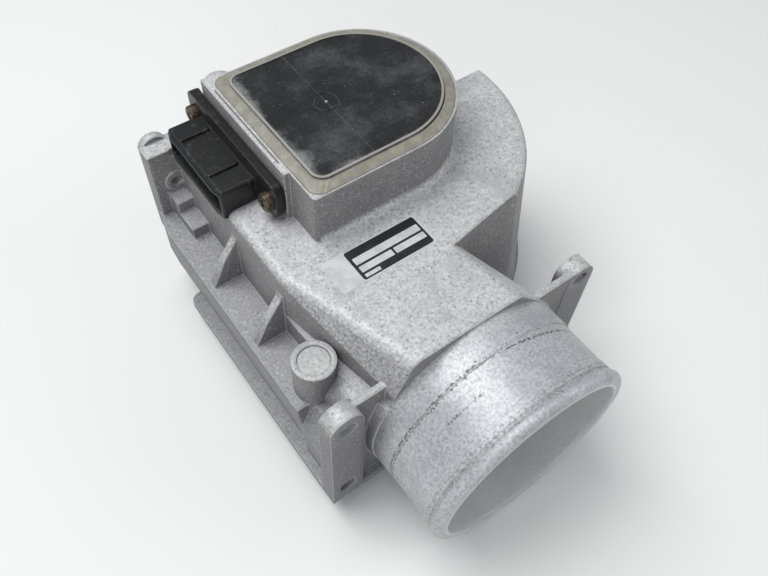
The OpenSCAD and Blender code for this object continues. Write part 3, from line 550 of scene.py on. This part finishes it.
class AirflowSizes(bpy.types.PropertyGroup):
    """Sizes and colours of the dressed sensor."""

    bead_height: FloatProperty(
        name="Bead Height", description="Height of the seal bead above the tower rim",
        default=1.2 * MM, min=0.0, unit="LENGTH")
    bead_waves: FloatProperty(
        name="Bead Waves", description="How much the hand-laid bead's surface wanders",
        default=0.16 * MM, min=0.0, unit="LENGTH")
    sealant_colour: FloatVectorProperty(
        name="Sealant", description="Colour of the seal bead between its smears",
        subtype="COLOR", size=3, default=linear("#838075")[:3], min=0.0, max=1.0)
    lid_colour: FloatVectorProperty(
        name="Lid", description="Colour of the lid where it is clean",
        subtype="COLOR", size=3, default=linear("#17181A")[:3], min=0.0, max=1.0)
    plug_colour: FloatVectorProperty(
        name="Connector", description="Colour of the connector where it is clean",
        subtype="COLOR", size=3, default=linear("#101011")[:3], min=0.0, max=1.0)
    foil_colour: FloatVectorProperty(
        name="Label Foil", description="Colour of the label's foil and of its pale fields",
        subtype="COLOR", size=3, default=linear("#C6C7C8")[:3], min=0.0, max=1.0)
    field_colour: FloatVectorProperty(
        name="Label Field", description="Colour of the label's dark field",
        subtype="COLOR", size=3, default=linear("#141415")[:3], min=0.0, max=1.0)
    floor_colour: FloatVectorProperty(
        name="Floor", description="Colour of the studio floor",
        subtype="COLOR", size=3, default=linear("#E9E9E8")[:3], min=0.0, max=1.0)


class AIRFLOW_OT_casting(bpy.types.Operator):
    """Finish the die-cast housing, bottom cover, vane and bypass cap"""

    bl_idname = "airflow.casting"
    bl_label = "Castings"

    def execute(self, context):
        dress(housing_finish("cast_aluminium_blasted"), "housing")
        dress(plain_cast_finish("cast_aluminium_plain"), "bottom_cover", "vane", "bypass_plug")
        return {"FINISHED"}


class AIRFLOW_OT_lid(bpy.types.Operator):
    """Finish the moulded lid of the electronics tower"""

    bl_idname = "airflow.lid"
    bl_label = "Lid"

    def execute(self, context):
        base = (*context.scene.airflow.lid_colour, 1.0)
        dress(lid_finish("moulded_polyester_lid", base), "electronics_cover")
        return {"FINISHED"}


class AIRFLOW_OT_sealant(bpy.types.Operator):
    """Lay the silicone bead between the lid and the tower rim"""

    bl_idname = "airflow.sealant"
    bl_label = "Seal Bead"

    def execute(self, context):
        # The section's top rises from the lip as the sine of a quarter turn to the power 0.8, and its root
        # goes down beside the lid. Along the bead the top sinks by waves, most at the middle of its width.
        sizes = context.scene.airflow
        low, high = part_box("cover_sealant")
        left, rim = low[0] / MM - BEAD_SPREAD, high[2] / MM - BEAD_CREST
        middle = (low[1] + high[1]) / 2 / MM
        root_inset, root_height = np.array(BEAD_ROOT).T
        v = np.linspace(0, 1, 14)
        top = BEAD_LIP + (sizes.bead_height / MM - BEAD_LIP) * np.sin(np.pi / 2 * v) ** 0.8
        inset = np.concatenate([BEAD_EDGE + BEAD_WIDTH * v, root_inset])
        height = np.concatenate([top, root_height]) + rim
        rings = np.stack([lid_outline(left + d, BEAD_HALF - d, BEAD_ROUND_X, BEAD_CORNER, middle)
                          for d in inset], 1)
        s = np.linspace(0, 2 * np.pi, len(rings), endpoint=False)[:, None]
        wave = (np.sin(7 * s + 1) + 0.7 * np.sin(17 * s) + 0.5 * np.sin(43 * s + 2)) / 2.2
        weight = np.concatenate([np.sin(np.pi * v), np.zeros(len(root_inset))])
        z = height + (wave - 1) * sizes.bead_waves / MM * weight
        points = np.concatenate([rings, z[:, :, None]], 2)
        material = sealant_finish("silicone_sealant_cured", (*sizes.sealant_colour, 1.0))
        bead = piece("seal_bead", points.reshape(-1, 3), grid_faces(*points.shape[:2]), [material],
                     "sealant")
        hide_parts("cover_sealant")
        return {"FINISHED"}


class AIRFLOW_OT_label(bpy.types.Operator):
    """Lay the foil label with plain colour fields"""

    bl_idname = "airflow.label"
    bl_label = "Label"

    def execute(self, context):
        # printed polyester foil: flat and satin, pale grey where bare and near black in its dark field
        sizes = context.scene.airflow
        pale = plain_finish("polyester_foil_white", (*sizes.foil_colour, 1.0), "#B5B6B7", 0.0, 0.35,
                            4.0, 0.004, 0.05)
        dark = plain_finish("polyester_foil_black", (*sizes.field_colour, 1.0), "#232325", 0.0, 0.35,
                            4.0, 0.004, 0.05)
        low, high = (np.array(c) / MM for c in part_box("label_plate"))
        left, far = high[0] - FIELD_WIDTH, high[1] - FIELD_END
        wide, deep = FIELD_WIDTH - FIELD_SIDE, high[1] - low[1] - 2 * FIELD_END
        foil = rounded_field(low[0], low[1], high[0], high[1], FOIL_CORNER)
        parts, mats = [prism(foil, 2, low[2], low[2] + FOIL_HEIGHT)], [0]
        for u0, v0, u1, v1, height, corner, k in FIELDS:
            ring = rounded_field(left + u0 * wide, far - v1 * deep, left + u1 * wide, far - v0 * deep,
                                 corner)
            parts.append(prism(ring, 2, low[2], low[2] + height))
            mats.append(k)
        face_material = np.repeat(mats, [len(faces) for _, faces in parts])
        label = piece("foil_label", *joined(parts), [pale, dark], "label_foil", face_material,
                      smooth=False)
        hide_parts("label_plate")
        return {"FINISHED"}


class AIRFLOW_OT_connector(bpy.types.Operator):
    """Mould the plug connector, and finish its gasket and blades"""

    bl_idname = "airflow.connector"
    bl_label = "Connector"

    def execute(self, context):
        black = plug_finish("moulded_polyamide_plug", (*context.scene.airflow.plug_colour, 1.0))
        hood = hood_rings()
        parts = [(hood.reshape(-1, 3), grid_faces(*hood.shape[:2]).tolist()),
                 prism(flange_outline(), 0, *FLANGE_X),
                 prism(np.array(CORE_OUTLINE), 0, *CORE_X)]
        for y in RIB_MIDDLES:
            ring = rounded_field(RIB_X[0], y - RIB_HALF, RIB_X[1], y + RIB_HALF, RIB_CORNER)
            parts.append(prism(ring, 2, *RIB_Z))
        shell = piece("plug_shell", *joined(parts), [black], "plug_black", smooth=False)
        mesh = bmesh.new()
        mesh.from_mesh(shell.data)
        bmesh.ops.recalc_face_normals(mesh, faces=mesh.faces)
        mesh.to_mesh(shell.data)
        mesh.free()
        edge = shell.modifiers.new("mould_radius", "BEVEL")
        edge.width, edge.segments = MOULD_RADIUS * MM, 3
        edge.limit_method, edge.angle_limit = "ANGLE", 0.6
        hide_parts("connector_housing")
        dress_plain(CONNECTOR_FINISHES)
        return {"FINISHED"}


class AIRFLOW_OT_fasteners(bpy.types.Operator):
    """Finish the screws"""

    bl_idname = "airflow.fasteners"
    bl_label = "Screws"

    def execute(self, context):
        dress_plain(SCREW_FINISHES)
        return {"FINISHED"}


class AIRFLOW_OT_mechanism(bpy.types.Operator):
    """Finish the shaft, bearings, spring wheel, wiper, board, seals and rubber parts"""

    bl_idname = "airflow.mechanism"
    bl_label = "Mechanism"

    def execute(self, context):
        dress_plain(MECHANISM_FINISHES)
        return {"FINISHED"}


class AIRFLOW_OT_stage(bpy.types.Operator):
    """Set the floor, soft lights and camera"""

    bl_idname = "airflow.stage"
    bl_label = "Studio"

    def execute(self, context):
        scene = context.scene
        scene.view_settings.view_transform = "Standard"
        low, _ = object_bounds()
        mesh = bpy.data.meshes.new("floor")
        z, r = low[2] - FLOOR_GAP, FLOOR_REACH
        mesh.from_pydata([(-r, -r, z), (r, -r, z), (r, r, z), (-r, r, z)], [], [(0, 1, 2, 3)])
        floor = bpy.data.objects.new("floor", mesh)
        scene.collection.objects.link(floor)
        # matt paper: even, pale and without gloss
        paper, _, shader, _ = fresh("studio_paper", 0.0, 0.9)
        shader.inputs["Base Color"].default_value = (*scene.airflow.floor_colour, 1.0)
        mesh.materials.append(paper)
        floor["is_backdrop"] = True

        scene.world = bpy.data.worlds.new("studio")
        scene.world.use_nodes = True
        back = scene.world.node_tree.nodes["Background"]
        back.inputs["Color"].default_value = linear("#E4E6EA")
        back.inputs["Strength"].default_value = WORLD_STRENGTH

        for name, place, width, power in LAMPS:
            light = bpy.data.lights.new(name, "AREA")
            light.size, light.energy = width, power
            lamp = bpy.data.objects.new(name, light)
            scene.collection.objects.link(lamp)
            lamp.location = place
            aim = Vector(LAMP_TARGET) - lamp.location
            lamp.rotation_euler = aim.to_track_quat("-Z", "Y").to_euler()

        lens = bpy.data.cameras.new("camera")
        lens.sensor_width, lens.lens = CAMERA_SENSOR, CAMERA_LENS
        lens.clip_start, lens.clip_end = 0.01, 20.0
        camera = bpy.data.objects.new("camera", lens)
        scene.collection.objects.link(camera)
        right, down, ahead = (Vector(v) for v in CAMERA_AXES)
        turn = Matrix((right, -down, -ahead)).transposed().to_quaternion().normalized()
        camera.matrix_world = Matrix.LocRotScale(Vector(CAMERA_PLACE), turn, None)
        scene.camera = camera
        return {"FINISHED"}


OPERATORS = (AIRFLOW_OT_casting, AIRFLOW_OT_lid, AIRFLOW_OT_sealant, AIRFLOW_OT_label,
             AIRFLOW_OT_connector, AIRFLOW_OT_fasteners, AIRFLOW_OT_mechanism, AIRFLOW_OT_stage)


class AIRFLOW_PT_panel(bpy.types.Panel):
    """Lists the steps that dress the sensor"""

    bl_idname = "AIRFLOW_PT_panel"
    bl_label = "Airflow Sensor"
    bl_space_type = "VIEW_3D"
    bl_region_type = "UI"
    bl_category = "Airflow Sensor"

    def draw(self, context):
        for key in AirflowSizes.__annotations__:
            self.layout.prop(context.scene.airflow, key)
        for op in OPERATORS:
            self.layout.operator(op.bl_idname)


CLASSES = (AirflowSizes, *OPERATORS, AIRFLOW_PT_panel)


def register():
    for c in CLASSES:
        bpy.utils.register_class(c)
    bpy.types.Scene.airflow = PointerProperty(type=AirflowSizes)


def unregister():
    del bpy.types.Scene.airflow
    for c in reversed(CLASSES):
        bpy.utils.unregister_class(c)


def main():
    """Registers the add-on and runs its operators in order."""
    register()
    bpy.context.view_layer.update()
    for op in OPERATORS:
        group, name = op.bl_idname.split(".")
        getattr(getattr(bpy.ops, group), name)()


if __name__ == "__main__":
    main()
